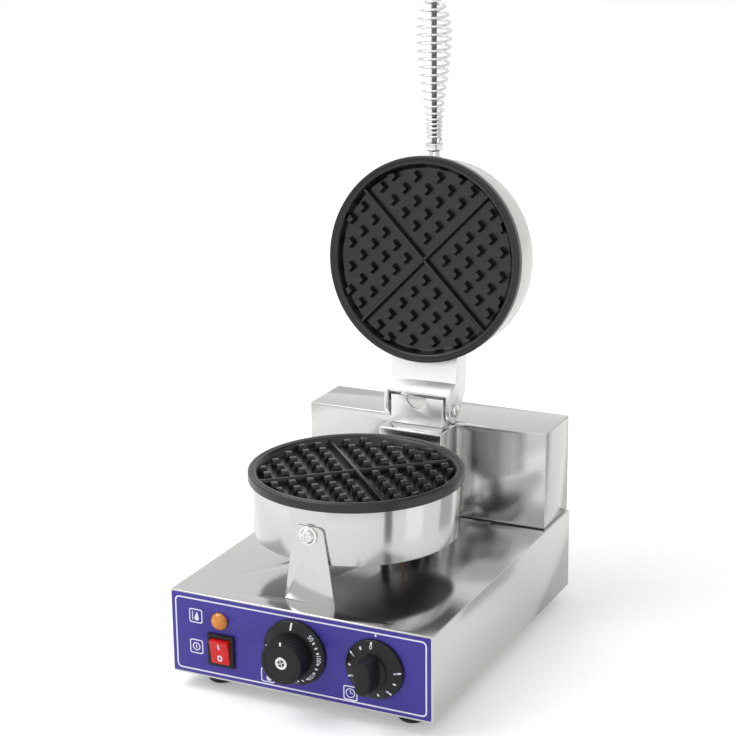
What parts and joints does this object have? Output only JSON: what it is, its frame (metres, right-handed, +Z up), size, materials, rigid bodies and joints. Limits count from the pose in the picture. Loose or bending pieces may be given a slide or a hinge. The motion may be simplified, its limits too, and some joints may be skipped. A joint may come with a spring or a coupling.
{
  "type": "round waffle maker",
  "caption": "Table-top round belgian waffle maker with a hinged upper head, a wire coil handle, cast waffle plates, a timer dial and a thermostat dial.",
  "frame": {"origin": "middle of the machine's footprint, knobs and cord gland included, on the surface that the feet stand on", "axes": "+X to the machine's right seen from the front, +Y to its back, +Z up; the control panel faces -Y"},
  "size_m": [0.25, 0.366, 0.5897],
  "materials": {
    "brushed_steel": "brushed stainless sheet",
    "plain_steel": "plain steel",
    "bright_steel": "bright plated steel",
    "nonstick_iron": "cast plate with a dark non-stick coat",
    "blue_panel": "blue-violet printed panel",
    "black_plastic": "satin black",
    "grey_plastic": "matt grey",
    "red_plastic": "glossy red",
    "amber_lens": "clear amber lens",
    "rubber": "matt black rubber",
    "glass_fibre": "glass fibre wool and sleeving",
    "copper": "bare copper tube"
  },
  "bodies": {
    "base": {"base_shell": "brushed_steel", "bottom_plate": "plain_steel", "foot_front_left": "rubber", "foot_front_right": "rubber", "foot_rear_left": "rubber", "foot_rear_right": "rubber", "front_panel": "blue_panel", "thermostat_body": "grey_plastic", "timer_body": "grey_plastic", "thermostat_capillary": "copper", "lamp_lens": "amber_lens", "lamp_body": "grey_plastic", "rocker_frame": "black_plastic", "terminal_block": "grey_plastic", "cord_gland": "black_plastic", "rear_housing": "brushed_steel", "rear_end_left": "brushed_steel", "rear_end_right": "brushed_steel", "front_support": "brushed_steel", "front_support_screw": "bright_steel", "rear_support": "brushed_steel", "rear_support_screw": "bright_steel", "lower_shell": "brushed_steel", "lower_plate": "nonstick_iron", "lower_element": "plain_steel", "lower_insulation": "glass_fibre", "lower_pan": "plain_steel", "lower_lead_sleeve": "glass_fibre", "lead_grommet": "rubber", "hinge_post": "brushed_steel", "hinge_bracket": "brushed_steel", "pivot_bolt_left": "bright_steel", "pivot_bolt_right": "bright_steel", "pivot_nut_left": "plain_steel", "pivot_nut_right": "plain_steel", "pivot_washer_left": "plain_steel", "pivot_washer_right": "plain_steel", "post_lead_sleeve": "glass_fibre"},
    "lid": {"hinge_arm": "brushed_steel", "hinge_arm_cover": "brushed_steel", "arm_lead_sleeve": "glass_fibre", "upper_shell": "brushed_steel", "upper_plate": "nonstick_iron", "upper_element": "plain_steel", "upper_insulation": "glass_fibre", "handle_boss": "bright_steel", "handle_nut": "bright_steel", "handle_rod": "plain_steel", "handle_spring": "bright_steel", "handle_end_nut": "bright_steel"},
    "thermostat_dial": {"thermostat_knob": "black_plastic", "thermostat_knob_disc": "bright_steel"},
    "timer_dial": {"timer_knob": "black_plastic"},
    "rocker": {"rocker_button": "red_plastic"}
  },
  "joints": [
    {"name": "lid_hinge", "type": "hinge", "parent": "base", "child": "lid", "pos_m": [0, 0.101, 0.2], "axis": [1, 0, 0], "range_deg": [0, 96.93]},
    {"name": "thermostat_turn", "type": "hinge", "parent": "base", "child": "thermostat_dial", "pos_m": [-0.002, -0.155, 0.056], "axis": [0, 1, 0], "range_deg": [0, 270]},
    {"name": "timer_turn", "type": "hinge", "parent": "base", "child": "timer_dial", "pos_m": [0.073, -0.155, 0.055], "axis": [0, 1, 0], "range_deg": [0, 300]},
    {"name": "rocker_switch", "type": "hinge", "parent": "base", "child": "rocker", "pos_m": [-0.0745, -0.155, 0.0435], "axis": [-1, 0, 0], "range_deg": [0, 18]}
  ]
}
